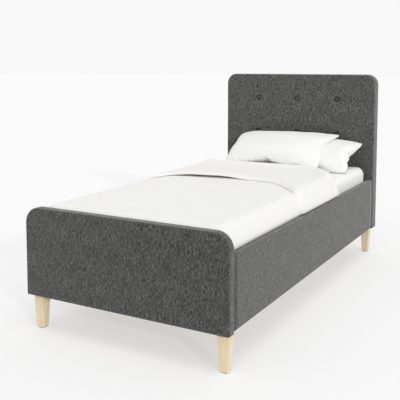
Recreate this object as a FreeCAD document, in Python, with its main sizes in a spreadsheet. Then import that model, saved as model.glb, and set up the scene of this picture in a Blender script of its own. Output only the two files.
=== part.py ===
# Single bed: a buttoned upholstered headboard, an upholstered footboard and side rails on tapered pine
# legs, a slatted base, and its bedding. Millimetres, +Z up, the head towards +Y and the foot towards -Y.
# The origin is on the floor under the middle of the bed.
import FreeCAD, Part
import os
import re
import Sketcher

Vector = FreeCAD.Vector
Constraint = Sketcher.Constraint

doc = FreeCAD.newDocument("upholstered_bed")
sizes = doc.addObject("Spreadsheet::Sheet", "sizes")

driving_sizes = {
    # mattress, and the room left round it
    "mattress_width": 908,
    "mattress_length": 1876,
    "mattress_depth": 200,
    "mattress_corner": 45,
    "mattress_edge": 38,
    "sheet_cloth": 1,
    "sheet_turn_under": 120,
    "side_gap": 10,
    "end_gap": 6,
    "bedding_clearance": 0.3,
    # the rails' lower edge above the floor, and the slats' top above the rails' lower edge
    "leg_height": 160,
    "deck_height": 180,
    # upholstered headboard and footboard
    "head_height": 945,
    "head_thickness": 85,
    "head_corner": 62,
    "head_foam": 18,
    "foot_height": 390,
    "foot_thickness": 45,
    "foot_corner": 70,
    "foot_foam": 8,
    "board_overhang": 6,
    "edge_foam": 9,
    "padded_edge": 9,
    "cover_cloth": 1,
    "plywood": 5,
    "stile_width": 70,
    "frame_rail_width": 80,
    "middle_rail_height": 420,
    "lining_inset": 24,
    "lining_play": 0.4,
    # buttons that pull the headboard padding in
    "button_columns": 3,
    "button_rows": 2,
    "button_pitch": 267,
    "button_row_pitch": 220,
    "button_drop": 154,
    "button_radius": 11.5,
    "button_crown_radius": 8.5,
    "button_thickness": 6,
    "dimple_mouth": 36,
    "dimple_seat": 13,
    "dimple_depth": 9,
    "dimple_lead": 5,
    # side rails
    "rail_height": 300,
    "rail_board": 19,
    "rail_foam": 9,
    "rail_edge": 8,
    "rail_turn_in": 45,
    "ledge_width": 32,
    "ledge_height": 40,
    "ledge_edge": 4,
    # slats
    "slat_width": 70,
    "slat_thickness": 18,
    "slat_edge": 3,
    "slat_end_play": 4,
    "slat_margin": 25,
    "tape_width": 25,
    "tape_thickness": 1.2,
    "tape_spacing": 600,
    # legs
    "leg_top": 52,
    "leg_toe": 36,
    "leg_edge": 5,
    "front_leg_side_inset": 15,
    "front_leg_end_inset": 28,
    "rear_leg_side_inset": 26,
    "rear_leg_end_inset": 4,
    "plate_size": 76,
    "plate_thickness": 3,
    "plate_reach": 24,
    "boss_size": 11,
    "boss_height": 9,
    "boss_room": 1.5,
    "stud_radius": 4,
    "stud_play": 0.1,
    "stud_below": 30,
    "glide_size": 28,
    "glide_thickness": 3,
    # corner fittings
    "block_size": 72,
    "block_height": 45,
    "bracket_arm": 56,
    "bracket_height": 60,
    "bracket_steel": 3,
    "bracket_base": 50,
    "bolt_radius": 4,
    "bolt_play": 0.5,
    "bolt_head": 5.3,
    "bolt_head_radius": 7.4,
    "bolt_from_corner": 28,
    "insert_radius": 7,
    "insert_length": 14,
    "insert_play": 0.05,
    # bedding
    "duvet_loft": 13,
    "duvet_side": 7.5,
    "duvet_foot": 5,
    "duvet_drop": 112,
    "duvet_edge": 44,
    "fold_from_pillows": 5,
    "flap_length": 555,
    "flap_loft": 11,
    "flap_hem_gap": 2,
    "pillow_width": 670,
    "pillow_reach": 413,
    "pillow_rise": 141,
    "pillow_edge": 15,
    "pillow_head_gap": 12,
    "lower_pillow_middle": 115,
    "upper_pillow_shift": 160,
}
slat_count = 14
dimple_folds = 12

for row, (word, value) in enumerate(driving_sizes.items(), 1):
    sizes.set(f"A{row}", word)
    sizes.set(f"B{row}", str(value))
    sizes.setAlias(f"B{row}", word)
doc.recompute()

# Sizes and places that follow from the driving ones.
derived_sizes = {
    "made_width": "mattress_width + 2 * sheet_cloth",
    "made_length": "mattress_length + 2 * sheet_cloth",
    "made_depth": "mattress_depth + 2 * sheet_cloth",
    "well_width": "made_width + 2 * side_gap",
    "well_length": "made_length + 2 * end_gap",
    "rail_thickness": "rail_board + rail_foam + cover_cloth",
    "bed_width": "well_width + 2 * rail_thickness + 2 * board_overhang",
    "bed_length": "foot_thickness + well_length + head_thickness",
    "foot_face": "0 - bed_length / 2",
    "well_foot": "foot_face + foot_thickness",
    "well_head": "well_foot + well_length",
    "well_middle": "(well_foot + well_head) / 2",
    "padding": "cover_cloth + edge_foam",
    "core_width": "bed_width - 2 * padding",
    "front_leg_x": "bed_width / 2 - front_leg_side_inset - leg_top / 2",
    "front_leg_y": "foot_face + front_leg_end_inset + leg_top / 2",
    "rear_leg_x": "bed_width / 2 - rear_leg_side_inset - leg_top / 2",
    "rear_leg_y": "bed_length / 2 - rear_leg_end_inset - leg_top / 2",
    "leg_wood": "leg_height - plate_thickness - glide_thickness",
    "sleep_deck": "leg_height + deck_height",
    "ledge_top": "sleep_deck - slat_thickness",
    "slat_run": "well_length - 2 * slat_margin - slat_width",
    "bolt_up": "bracket_base + bracket_height / 2",
    "bolt_across": "well_width / 2 - bolt_from_corner",
    "button_low": "head_height - button_drop - (button_rows - 1) * button_row_pitch",
    "button_span": "(button_columns - 1) * button_pitch",
    "sheet_base": "sleep_deck + bedding_clearance",
    "sheet_top": "sheet_base + made_depth",
    "duvet_base": "sheet_top + bedding_clearance",
    "duvet_hem": "sheet_top - duvet_drop",
    "duvet_half_width": "made_width / 2 + bedding_clearance + duvet_side",
    "duvet_corner": "mattress_corner + sheet_cloth + bedding_clearance + duvet_foot",
    "duvet_foot_end": "well_foot + end_gap - bedding_clearance - duvet_foot",
    "flap_base": "leg_height + rail_height + flap_hem_gap",
    "flap_top": "duvet_base + duvet_loft + flap_loft",
    "pillow_front": "well_head - pillow_head_gap - pillow_reach",
    "fold_line": "pillow_front - fold_from_pillows",
}


def expand(text):
    """An expression in plain words, with each word turned into its cell or its own expression."""
    def spell(match):
        word = match.group(0)
        if word in derived_sizes:
            return f"({expand(derived_sizes[word])})"
        return f"sizes.{word}" if word in driving_sizes else word
    return re.sub(r"[a-z_]+", spell, str(text))


# Each corner of the bed as (its name, side across, whether it's at the head, turn that faces it inwards).
corners = [
    ("front_left", -1, False, 0),
    ("front_right", 1, False, 90),
    ("rear_right", 1, True, 180),
    ("rear_left", -1, True, 270),
]
parts = {}


def place(thing, x=0, y=0, z=0, turn=0):
    thing.Placement = FreeCAD.Placement(Vector(), FreeCAD.Rotation(Vector(0, 0, 1), turn))
    for axis, value in zip("xyz", (x, y, z)):
        thing.setExpression(f"Placement.Base.{axis}", expand(value))
    return thing


def keep(thing, name):
    """This object is the bed's piece of that name."""
    thing.Label = name
    parts[name] = thing
    return thing


def group(name, pieces):
    """Like pieces that share one node as separate solids."""
    compound = doc.addObject("Part::Compound", name)
    compound.Links = pieces
    return keep(compound, name)


def cut(name, base, tool):
    result = doc.addObject("Part::Cut", name)
    result.Base, result.Tool = base, tool
    return result


def new_body(name):
    return doc.addObject("PartDesign::Body", name)


def origin_feature(body, role):
    return next(f for f in body.Origin.OriginFeatures if f.Role == role)


def new_sketch(body, plane, lift=0):
    """A sketch on one of the body's own planes, lifted along that plane's normal."""
    sketch = body.newObject("Sketcher::SketchObject", "sketch")
    sketch.AttachmentSupport = [(origin_feature(body, plane), "")]
    sketch.MapMode = "FlatFace"
    sketch.setExpression("AttachmentOffset.Base.z", expand(lift))
    return sketch


def bind(sketch, constraint, name, value):
    index = sketch.addConstraint(constraint)
    sketch.renameConstraint(index, name)
    sketch.setExpression(f"Constraints.{name}", expand(value))


def outline(sketch, points):
    """A closed outline of straight lines through these (across, up) expressions."""
    first, count = sketch.GeometryCount, len(points)
    rough = [Vector(0, 100, 0), Vector(0, 0, 0), Vector(100, 0, 0), Vector(100, 100, 0)]
    if count != 4:
        turn = [FreeCAD.Rotation(Vector(0, 0, 1), 360 * i / count) for i in range(count)]
        rough = [t.multVec(Vector(100, 0, 0)) for t in turn]
    for i in range(count):
        sketch.addGeometry(Part.LineSegment(rough[i], rough[(i + 1) % count]), False)
    for i in range(count):
        sketch.addConstraint(Constraint("Coincident", first + i, 2, first + (i + 1) % count, 1))
    for i, (across, up) in enumerate(points):
        line = first + i
        bind(sketch, Constraint("DistanceX", -1, 1, line, 1, 1), f"across{line}", across)
        bind(sketch, Constraint("DistanceY", -1, 1, line, 1, 1), f"up{line}", up)


def rectangle(sketch, left, low, width, height):
    right, top = f"{left} + {width}", f"{low} + {height}"
    outline(sketch, [(left, top), (left, low), (right, low), (right, top)])


def polygon(sketch, across, up, radius, sides):
    """A regular outline round a middle, with a corner straight across from it."""
    turns = [f"{360 * i / sides}" for i in range(sides)]
    outline(sketch, [
        (f"{across} + {radius} * cos({turn})", f"{up} + {radius} * sin({turn})") for turn in turns
    ])


def square(sketch, across, up, size):
    rectangle(sketch, f"{across} - {size} / 2", f"{up} - {size} / 2", size, size)


def circle(sketch, across, up, radius):
    index = sketch.addGeometry(Part.Circle(Vector(50, 50, 0), Vector(0, 0, 1), 10), False)
    bind(sketch, Constraint("DistanceX", -1, 1, index, 3, 50), f"across{index}", across)
    bind(sketch, Constraint("DistanceY", -1, 1, index, 3, 50), f"up{index}", up)
    bind(sketch, Constraint("Radius", index, 10), f"radius{index}", radius)


def pad(body, sketch, length, reverse=False, both_ways=False):
    feature = body.newObject("PartDesign::Pad", "pad")
    feature.Profile = sketch
    feature.setExpression("Length", expand(length))
    feature.Reversed = reverse
    feature.Midplane = both_ways
    return feature


def pocket(body, sketch, depth=None):
    """A pocket down from the sketch, or right through both ways when no depth is given."""
    feature = body.newObject("PartDesign::Pocket", "pocket")
    feature.Profile = sketch
    if depth is None:
        feature.Type = "ThroughAll"
        feature.Midplane = True
    else:
        feature.setExpression("Length", expand(depth))
    return feature


def picked_edges(body, wanted):
    """The body so far, and its edges that the test picks by their middle and direction."""
    doc.recompute()
    base = body.Tip
    box = base.Shape.BoundBox
    names = []
    for i, edge in enumerate(base.Shape.Edges, 1):
        middle = edge.BoundBox.Center
        flat = tuple(getattr(edge.BoundBox, f"{axis}Length") < 1e-6 for axis in "XYZ")
        if wanted(middle, flat, box):
            names.append(f"Edge{i}")
    return base, names


def round_edges(body, radius, wanted):
    base = picked_edges(body, wanted)
    fillet = body.newObject("PartDesign::Fillet", "rounding")
    fillet.Base = base
    fillet.setExpression("Radius", expand(radius))
    return fillet


def bevel_edges(body, radius, wanted):
    """A flat bevel in place of a rounding of this radius, touching it at its middle."""
    base = picked_edges(body, wanted)
    bevel = body.newObject("PartDesign::Chamfer", "bevel")
    bevel.Base = base
    bevel.setExpression("Size", expand(f"({radius}) * (2 - sqrt(2))"))
    return bevel


def along_x(middle, flat, box):
    return flat[1] and flat[2]


def along_z(middle, flat, box):
    return flat[0] and flat[1]


def top_and_base(middle, flat, box):
    return flat[2]


def upper_corners(middle, flat, box):
    return flat[0] and flat[2] and middle.z > box.Center.z


def front_and_back(middle, flat, box):
    return flat[1] and middle.z > 1e-6


# ---- headboard and footboard

def board_form(name, board, inset):
    """The padded board's outer form, drawn in by an inset on every side but its open underside.
    Its front face is on y = 0 and its base on z = 0."""
    body = new_body(name)
    sketch = new_sketch(body, "XZ_Plane", f"0 - {inset}")
    width, height = f"(bed_width - 2 * {inset})", f"({board}_height - {inset})"
    rectangle(sketch, f"0 - {width} / 2", "0", width, height)
    pad(body, sketch, f"{board}_thickness - 2 * {inset}", reverse=True)
    round_edges(body, f"{board}_corner - {inset}", upper_corners)
    bevel_edges(body, f"padded_edge - {inset}", front_and_back)
    return body


def over_buttons(source, back, base):
    """A copy of a piece at each button's place."""
    copies = []
    for column in range(driving_sizes["button_columns"]):
        for row in range(driving_sizes["button_rows"]):
            copy = doc.addObject("App::Link", "button_copy")
            copy.LinkedObject = source
            across = f"{column} * button_pitch - button_span / 2"
            copies.append(place(copy, across, back, f"{base} + button_low + {row} * button_row_pitch"))
    return copies


def dimpled(form, inset):
    """The form with the folded hollows that the buttons pull into its padding."""
    hollow = new_body("hollow")
    sketch = new_sketch(hollow, "XZ_Plane", f"dimple_lead - {inset}")
    polygon(sketch, "0", "0", "dimple_mouth", dimple_folds)
    pad(hollow, sketch, "dimple_lead + dimple_depth", reverse=True)
    rim = picked_edges(hollow, lambda m, flat, box: flat[1] and m.y > box.Center.y)
    slope = hollow.newObject("PartDesign::Chamfer", "slope")
    slope.Base = rim
    slope.ChamferType = "Two distances"
    slope.setExpression("Size", expand("dimple_depth"))
    slope.setExpression("Size2", expand(f"(dimple_mouth - dimple_seat) * cos({180 / dimple_folds})"))
    hollows = doc.addObject("Part::Compound", "hollows")
    hollows.Links = over_buttons(hollow, "0", "0")
    return cut("dimpled_form", form, hollows)


def bolt_holes(body):
    """A hole at each side, where a corner bracket is bolted on."""
    sketch = new_sketch(body, "XZ_Plane")
    for side in ("", "0 - "):
        circle(sketch, f"{side}bolt_across", "bolt_up", "bolt_radius + bolt_play")
    return pocket(body, sketch)


def boss_recess(body, across, up):
    """A square recess in the underside of a corner, over the boss of its leg plate."""
    sketch = new_sketch(body, "XY_Plane")
    square(sketch, across, up, "(boss_size + 2 * boss_room)")
    pocket(body, sketch, "boss_height + boss_room").Reversed = True


def upholstered_board(board, front):
    """A timber frame with a plywood face, foam, a cloth cover and a back lining.
    Its face is at y = front, away from the mattress at the foot and towards it at the head."""
    buttoned = board == "head"
    long_name = f"{board}board"
    depth = f"{board}_thickness - 2 * cover_cloth"
    outer, inner = board_form(f"{long_name}_outer_form", board, "0"), board_form(
        f"{long_name}_inner_form", board, "cover_cloth"
    )
    if buttoned:
        bolt_holes(outer)
        bolt_holes(inner)
    window = new_sketch(outer, "XZ_Plane", f"0 - {board}_thickness + cover_cloth")
    lining_width, lining_height = "(bed_width - 2 * lining_inset)", f"({board}_height - lining_inset)"
    rectangle(window, f"0 - {lining_width} / 2", "0", lining_width, lining_height)
    opening = pocket(outer, window, "cover_cloth")
    opening.Reversed = False
    if buttoned:
        outer, inner = dimpled(outer, "0"), dimpled(inner, "cover_cloth")
    cover = keep(cut("cover", outer, inner), f"{long_name}_cover")

    face = f"(cover_cloth + {board}_foam)"
    core_height = f"({board}_height - padding)"
    core = new_body(f"{long_name}_core_form")
    sketch = new_sketch(core, "XZ_Plane", f"0 - {face}")
    rectangle(sketch, "0 - core_width / 2", "0", "core_width", core_height)
    pad(core, sketch, depth, reverse=True)
    round_edges(core, f"{board}_corner - padding", upper_corners)
    foam = keep(cut("foam", inner, core), f"{long_name}_foam")

    panel = keep(new_body("panel"), f"{long_name}_panel")
    sketch = new_sketch(panel, "XZ_Plane", f"0 - {face}")
    rectangle(sketch, "0 - core_width / 2", "0", "core_width", core_height)
    pad(panel, sketch, "plywood", reverse=True)
    round_edges(panel, f"{board}_corner - padding", upper_corners)
    if buttoned:
        bolt_holes(panel)

    frame_face = f"({face} + plywood)"
    frame_depth = f"({board}_thickness - cover_cloth - {frame_face})"
    stiles = []
    for side in (-1, 1):
        stile = new_body(f"{long_name}_stile")
        sketch = new_sketch(stile, "XZ_Plane", f"0 - {frame_face}")
        left = "0 - core_width / 2" if side < 0 else "core_width / 2 - stile_width"
        rectangle(sketch, left, "0", "stile_width", f"({core_height} - frame_rail_width)")
        pad(stile, sketch, frame_depth, reverse=True)
        bolt_face = frame_face if buttoned else f"({board}_thickness - cover_cloth - insert_length)"
        sketch = new_sketch(stile, "XZ_Plane", f"0 - {bolt_face}")
        sign = "0 - " if side < 0 else ""
        polygon(sketch, f"{sign}bolt_across", "bolt_up", "(insert_radius + insert_play)", 6)
        pocket(stile, sketch, "insert_length").Reversed = False
        if buttoned:
            boss_recess(stile, f"{sign}rear_leg_x", "(rear_leg_y - well_head)")
        stiles.append(stile)
    group(f"{long_name}_stiles", stiles)

    top_rail = keep(new_body("top_rail"), f"{long_name}_top_rail")
    sketch = new_sketch(top_rail, "XZ_Plane", f"0 - {frame_face}")
    rectangle(
        sketch, "0 - core_width / 2", f"{core_height} - frame_rail_width", "core_width", "frame_rail_width"
    )
    pad(top_rail, sketch, frame_depth, reverse=True)
    round_edges(top_rail, f"{board}_corner - padding", upper_corners)
    cross_rails = []
    for low in ("0", "middle_rail_height") if buttoned else ("0",):
        rail = new_body(f"{long_name}_cross_rail")
        sketch = new_sketch(rail, "XZ_Plane", f"0 - {frame_face}")
        width = "(core_width - 2 * stile_width)"
        rectangle(sketch, f"0 - {width} / 2", low, width, "frame_rail_width")
        pad(rail, sketch, frame_depth, reverse=True)
        cross_rails.append(rail)
    group(f"{long_name}_cross_rails", cross_rails)

    lining = keep(new_body("lining"), f"{long_name}_lining")
    sketch = new_sketch(lining, "XZ_Plane", f"0 - {board}_thickness + cover_cloth")
    width = f"({lining_width} - 2 * lining_play)"
    rectangle(sketch, f"0 - {width} / 2", "0", width, f"({lining_height} - lining_play)")
    pad(lining, sketch, "cover_cloth", reverse=True)
    if not buttoned:
        bolt_holes(lining)
    for name in ("cover", "foam", "panel", "stiles", "top_rail", "cross_rails", "lining"):
        place(parts[f"{long_name}_{name}"], 0, front, "leg_height")


def headboard_buttons():
    button = new_body("button")
    dome = button.newObject("PartDesign::AdditiveCone", "dome")
    dome.AttachmentSupport = [(origin_feature(button, "XZ_Plane"), "")]
    dome.MapMode = "FlatFace"
    dome.setExpression("AttachmentOffset.Base.z", expand("0 - dimple_depth"))
    dome.setExpression("Radius1", expand("button_radius"))
    dome.setExpression("Radius2", expand("button_crown_radius"))
    dome.setExpression("Height", expand("button_thickness"))
    group("headboard_buttons", over_buttons(button, "well_head", "leg_height"))


upholstered_board("head", "well_head")
upholstered_board("foot", "foot_face")
headboard_buttons()


# ---- side rails, ledges and slats

def side_rail(side, turn):
    """The rail's section is drawn for the right-hand side, from its inner face at x = 0 outwards."""
    thickness, height, cloth = "rail_thickness", "rail_height", "cover_cloth"
    foam_top = f"({height} - {cloth})"
    board_top = f"({foam_top} - rail_foam)"
    inner_face = "well_width / 2"

    def section(name, points):
        body = keep(new_body(name), f"side_rail_{name}_{side}")
        outline(new_sketch(body, "XZ_Plane"), [(f"{inner_face} + {x}", z) for x, z in points])
        pad(body, body.Group[0], "well_length", both_ways=True)
        return place(body, 0, "well_middle", "leg_height", turn)

    section("board", [("0", board_top), ("0", cloth), ("rail_board", cloth), ("rail_board", board_top)])
    foam_face = "(rail_board + rail_foam)"
    foam = section("foam", [
        ("0", foam_top), ("0", board_top), ("rail_board", board_top), ("rail_board", cloth),
        (foam_face, cloth), (foam_face, foam_top),
    ])
    round_edges(foam, f"rail_edge - {cloth}", lambda m, flat, box: (
        flat[0] and flat[2] and abs(m.x - box.XMax) < 1e-6
    ))
    turn_in = f"({height} - rail_turn_in)"
    cover = section("cover", [
        ("0", "0"), (thickness, "0"), (thickness, height), (f"0 - {cloth}", height),
        (f"0 - {cloth}", turn_in), ("0", turn_in), ("0", foam_top), (foam_face, foam_top),
        (foam_face, cloth), ("0", cloth),
    ])
    round_edges(cover, "rail_edge", lambda m, flat, box: (
        flat[0] and flat[2] and abs(m.x - box.XMax) < 1e-6
    ))
    cloth_size = driving_sizes[cloth]
    round_edges(cover, f"rail_edge - {cloth}", lambda m, flat, box: (
        flat[0] and flat[2] and abs(m.x - box.XMax + cloth_size) < 1e-6
    ))

    ledge = keep(new_body("ledge"), f"slat_ledge_{side}")
    sketch = new_sketch(ledge, "XZ_Plane")
    rectangle(sketch, f"{inner_face} - ledge_width", "ledge_top - ledge_height", "ledge_width", "ledge_height")
    pad(ledge, sketch, "well_length", both_ways=True)
    bevel_edges(ledge, "ledge_edge", lambda m, flat, box: (
        flat[0] and flat[2] and abs(m.x - box.XMin) < 1e-6 and m.z < box.Center.z
    ))
    place(ledge, 0, "well_middle", 0, turn)


side_rail("right", 0)
side_rail("left", 180)

for number in range(slat_count):
    slat = keep(new_body("slat"), f"slat_{number + 1:02d}")
    sketch = new_sketch(slat, "XY_Plane")
    slat_length = "(well_width - 2 * slat_end_play)"
    rectangle(sketch, f"0 - {slat_length} / 2", "0", slat_length, "slat_width")
    pad(slat, sketch, "slat_thickness")
    bevel_edges(slat, "slat_edge", along_x)
    place(slat, 0, f"well_foot + slat_margin + {number} * slat_run / {slat_count - 1}", "ledge_top")

tapes = []
for side in (-1, 1):
    tape = doc.addObject("Part::Box", "slat_tape")
    tape.setExpression("Length", expand("tape_width"))
    tape.setExpression("Width", expand("slat_run + slat_width"))
    tape.setExpression("Height", expand("tape_thickness"))
    tapes.append(place(
        tape,
        f"{side} * tape_spacing / 2 - tape_width / 2",
        "well_foot + slat_margin",
        "ledge_top - tape_thickness",
    ))
group("slat_tapes", tapes)


# ---- legs and corner fittings

def tapered_leg(name):
    """A square leg, sawn to a taper on all four sides, with a blind hole for the stud."""
    body = keep(new_body(name), name)
    blank = new_sketch(body, "XY_Plane")
    square(blank, "0", "0", "leg_top")
    pad(body, blank, "leg_wood")
    for plane in ("XZ_Plane", "YZ_Plane"):
        waste = new_sketch(body, plane)
        for sign in ("", "0 - "):
            outline(waste, [
                (f"{sign}leg_top / 2", "leg_wood"), (f"{sign}leg_toe / 2", "0"), (f"{sign}leg_top / 2", "0"),
            ])
        pocket(body, waste)
    bevel_edges(body, "leg_edge", lambda m, flat, box: not flat[2])
    hole = new_sketch(body, "XY_Plane", "leg_wood")
    circle(hole, "0", "0", "stud_radius + stud_play")
    pocket(body, hole, "stud_below")
    return body


def leg_plate():
    """A steel plate under the corner, with a threaded boss for the leg's stud."""
    body = new_body("leg_plate")
    for size, shift, height in (
        ("plate_size", "(plate_size / 2 - plate_reach)", "plate_thickness"),
        ("boss_size", "0", "plate_thickness + boss_height"),
    ):
        sketch = new_sketch(body, "XY_Plane")
        square(sketch, shift, shift, size)
        pad(body, sketch, height)
    bore = new_sketch(body, "XY_Plane")
    circle(bore, "0", "0", "stud_radius + stud_play")
    pocket(body, bore)
    return body


def leg_stud():
    body = new_body("leg_stud")
    sketch = new_sketch(body, "XY_Plane")
    circle(sketch, "0", "0", "stud_radius")
    pad(body, sketch, "stud_below + plate_thickness + boss_height")
    return body


def leg_glide():
    body = new_body("leg_glide")
    sketch = new_sketch(body, "XY_Plane")
    square(sketch, "0", "0", "glide_size")
    pad(body, sketch, "glide_thickness")
    return body


plates, studs, glides = [], [], []
for name, side, at_head, turn in corners:
    end = "rear" if at_head else "front"
    x, y = f"{side} * {end}_leg_x", f"{end}_leg_y"
    place(tapered_leg(f"leg_{name}"), x, y, "glide_thickness")
    plates.append(place(leg_plate(), x, y, "leg_height - plate_thickness", turn))
    studs.append(place(leg_stud(), x, y, "leg_height - plate_thickness - stud_below"))
    glides.append(place(leg_glide(), x, y, 0))
group("leg_plates", plates)
group("leg_studs", studs)
group("leg_glides", glides)


def corner_block(across, up):
    """A hardwood block in the angle of the footboard and a rail, recessed over the leg plate's boss."""
    body = new_body("corner_block")
    sketch = new_sketch(body, "XY_Plane")
    outline(sketch, [
        ("0", "block_size"), ("0", "0"), ("block_size", "0"),
        ("block_size", "block_size / 2"), ("block_size / 2", "block_size"),
    ])
    pad(body, sketch, "block_height")
    boss_recess(body, across, up)
    return body


def corner_bracket(bolted_plane):
    """A steel angle, screwed to a rail by one arm and bolted to the headboard or footboard by the other."""
    body = new_body("corner_bracket")
    outline(new_sketch(body, "XY_Plane"), [
        ("0", "bracket_arm"), ("0", "0"), ("bracket_arm", "0"), ("bracket_arm", "bracket_steel"),
        ("bracket_steel", "bracket_steel"), ("bracket_steel", "bracket_arm"),
    ])
    pad(body, body.Group[0], "bracket_height")
    sketch = new_sketch(body, bolted_plane)
    circle(sketch, "bolt_from_corner", "bracket_height / 2", "bolt_radius + bolt_play")
    pocket(body, sketch)
    return body


def bolt(grip):
    """A hexagon bolt along +Z, with the underside of its head on z = 0."""
    body = new_body("bolt")
    head = new_sketch(body, "XY_Plane")
    polygon(head, "0", "0", "bolt_head_radius", 6)
    pad(body, head, "bolt_head", reverse=True)
    shank = new_sketch(body, "XY_Plane")
    circle(shank, "0", "0", "bolt_radius")
    pad(body, shank, grip)
    return body


def threaded_insert():
    body = new_body("insert")
    sketch = new_sketch(body, "XY_Plane")
    polygon(sketch, "0", "0", "insert_radius", 6)
    circle(sketch, "0", "0", "bolt_radius + insert_play")
    pad(body, sketch, "insert_length")
    return body


def lay_along(thing, direction, x, y, z):
    """Places a piece made along +Z so that it points along another direction."""
    place(thing, x, y, z)
    thing.Placement = FreeCAD.Placement(thing.Placement.Base, FreeCAD.Rotation(Vector(0, 0, 1), direction))
    return thing


blocks, brackets, inserts = [], [], []
bolts = {"headboard_bolts": [], "footboard_bolts": []}
for name, side, at_head, turn in corners:
    wall = "well_head" if at_head else "well_foot"
    inward = -1 if at_head else 1
    corner_x = f"{side} * well_width / 2"
    straight = turn % 180 == 0
    if not at_head:
        near, far = "(well_width / 2 - front_leg_x)", "(front_leg_y - well_foot)"
        block = corner_block(near, far) if straight else corner_block(far, near)
        blocks.append(place(block, corner_x, wall, "leg_height", turn))
    bracket = corner_bracket("XZ_Plane" if straight else "YZ_Plane")
    brackets.append(place(bracket, corner_x, wall, "leg_height + bracket_base", turn))
    to_insert = "(cover_cloth + head_foam + plywood)" if at_head else "cover_cloth"
    board = "headboard_bolts" if at_head else "footboard_bolts"
    x, up, away = f"{side} * bolt_across", "leg_height + bolt_up", Vector(0, -inward, 0)
    grip = f"bracket_steel + {to_insert} + insert_length"
    bolts[board].append(lay_along(bolt(grip), away, x, f"{wall} + {inward} * bracket_steel", up))
    inserts.append(lay_along(threaded_insert(), away, x, f"{wall} - {inward} * {to_insert}", up))
group("corner_blocks", blocks)
group("corner_brackets", brackets)
for name, pieces in bolts.items():
    group(name, pieces)
group("threaded_inserts", inserts)


# ---- mattress and bedding

def mattress_form(name, grow):
    """A soft block on z = 0, grown by an allowance on every side."""
    body = new_body(name)
    sketch = new_sketch(body, "XY_Plane", f"0 - {grow}")
    wide, long = f"(mattress_width + 2 * {grow})", f"(mattress_length + 2 * {grow})"
    rectangle(sketch, f"0 - {wide} / 2", f"0 - {long} / 2", wide, long)
    pad(body, sketch, f"mattress_depth + 2 * {grow}")
    round_edges(body, f"mattress_corner + {grow}", along_z)
    bevel_edges(body, f"mattress_edge + {grow}", top_and_base)
    return body


mattress = keep(mattress_form("mattress", "0"), "mattress")
place(mattress, 0, "well_middle", "sheet_base + sheet_cloth")
sheet_outer = mattress_form("sheet_outer_form", "sheet_cloth")
sketch = new_sketch(sheet_outer, "XY_Plane", "0 - sheet_cloth")
wide, long = "(mattress_width - 2 * sheet_turn_under)", "(mattress_length - 2 * sheet_turn_under)"
rectangle(sketch, f"0 - {wide} / 2", f"0 - {long} / 2", wide, long)
pocket(sheet_outer, sketch, "sheet_cloth").Reversed = True
sheet_inner = mattress_form("sheet_inner_form", "0")
fitted_sheet = keep(cut("sheet", sheet_outer, sheet_inner), "fitted_sheet")
place(fitted_sheet, 0, "well_middle", "sheet_base + sheet_cloth")

duvet_outer = new_body("duvet_outer_form")
sketch = new_sketch(duvet_outer, "XY_Plane", "duvet_hem")
rectangle(
    sketch, "0 - duvet_half_width", "duvet_foot_end", "2 * duvet_half_width", "(fold_line - duvet_foot_end)"
)
pad(duvet_outer, sketch, "duvet_base + duvet_loft - duvet_hem")
round_edges(duvet_outer, "duvet_corner", lambda m, flat, box: (
    along_z(m, flat, box) and m.y < box.YMax - 1e-6
))
bevel_edges(duvet_outer, "duvet_edge", lambda m, flat, box: (
    m.z > box.ZMax - 1e-6 and m.y < box.YMax - 1e-6
))
sketch = new_sketch(duvet_outer, "XY_Plane", "flap_base")
rectangle(
    sketch, "0 - duvet_half_width - flap_loft", "fold_line - flap_length",
    "2 * (duvet_half_width + flap_loft)", "flap_length",
)
pad(duvet_outer, sketch, "flap_top - flap_base")
bevel_edges(duvet_outer, "duvet_edge + flap_loft", lambda m, flat, box: (
    flat[0] and flat[2] and abs(abs(m.x) - box.XMax) < 1e-6 and abs(m.z - box.ZMax) < 1e-6
))
duvet_inner = mattress_form("duvet_inner_form", "(sheet_cloth + bedding_clearance)")
place(duvet_inner, 0, "well_middle", "sheet_base + sheet_cloth")
keep(cut("duvet", duvet_outer, duvet_inner), "duvet")


# Each pillow's side view as it leans on the headboard, in shares of the pillows' reach and rise.
lower_pillow_view = [
    (0.097, 0.113), (0.157, 0), (0.581, 0), (0.92, 0.638), (1, 1), (0.63, 0.915), (0.303, 0.603),
]
upper_pillow_view = [
    (0.012, 0.128), (0.303, 0.603), (0.63, 0.915), (0.98, 1.135), (0.98, 1.262), (0.92, 1.32),
    (0.726, 1.32), (0.375, 1.135), (0.145, 0.865),
]


def pillow(name, x, base, view):
    body = keep(new_body(name), name)
    sketch = new_sketch(body, "YZ_Plane")
    outline(sketch, [(f"{along} * pillow_reach", f"{up} * pillow_rise") for along, up in view])
    pad(body, sketch, "pillow_width", both_ways=True)
    bevel_edges(body, "pillow_edge", lambda m, flat, box: flat[0])
    return place(body, x, "pillow_front", base)


pillow("lower_pillow", "lower_pillow_middle", "sheet_top + bedding_clearance", lower_pillow_view)
pillow(
    "upper_pillow", "lower_pillow_middle - upper_pillow_shift", "sheet_top + 2 * bedding_clearance",
    upper_pillow_view,
)

doc.recompute()
faults = [o.Name for o in doc.Objects if "Invalid" in o.State or "Error" in o.State]
faults += [
    name for name, part in parts.items()
    if part.Shape.isNull() or not part.Shape.isValid() or not part.Shape.Solids
]
if faults:
    raise RuntimeError("these did not build: " + ", ".join(faults))
os.makedirs("parts", exist_ok=True)
for name, part in parts.items():
    part.Shape.exportStep(f"parts/{name}.step")
    print(name, len(part.Shape.Solids), "solids", round(part.Shape.Volume))
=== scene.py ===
# An upholstered single bed with its bedding, dressed for a studio picture.
import math
import bpy
import bmesh
from mathutils import Matrix, Vector, noise
from mathutils.bvhtree import BVHTree


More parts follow.
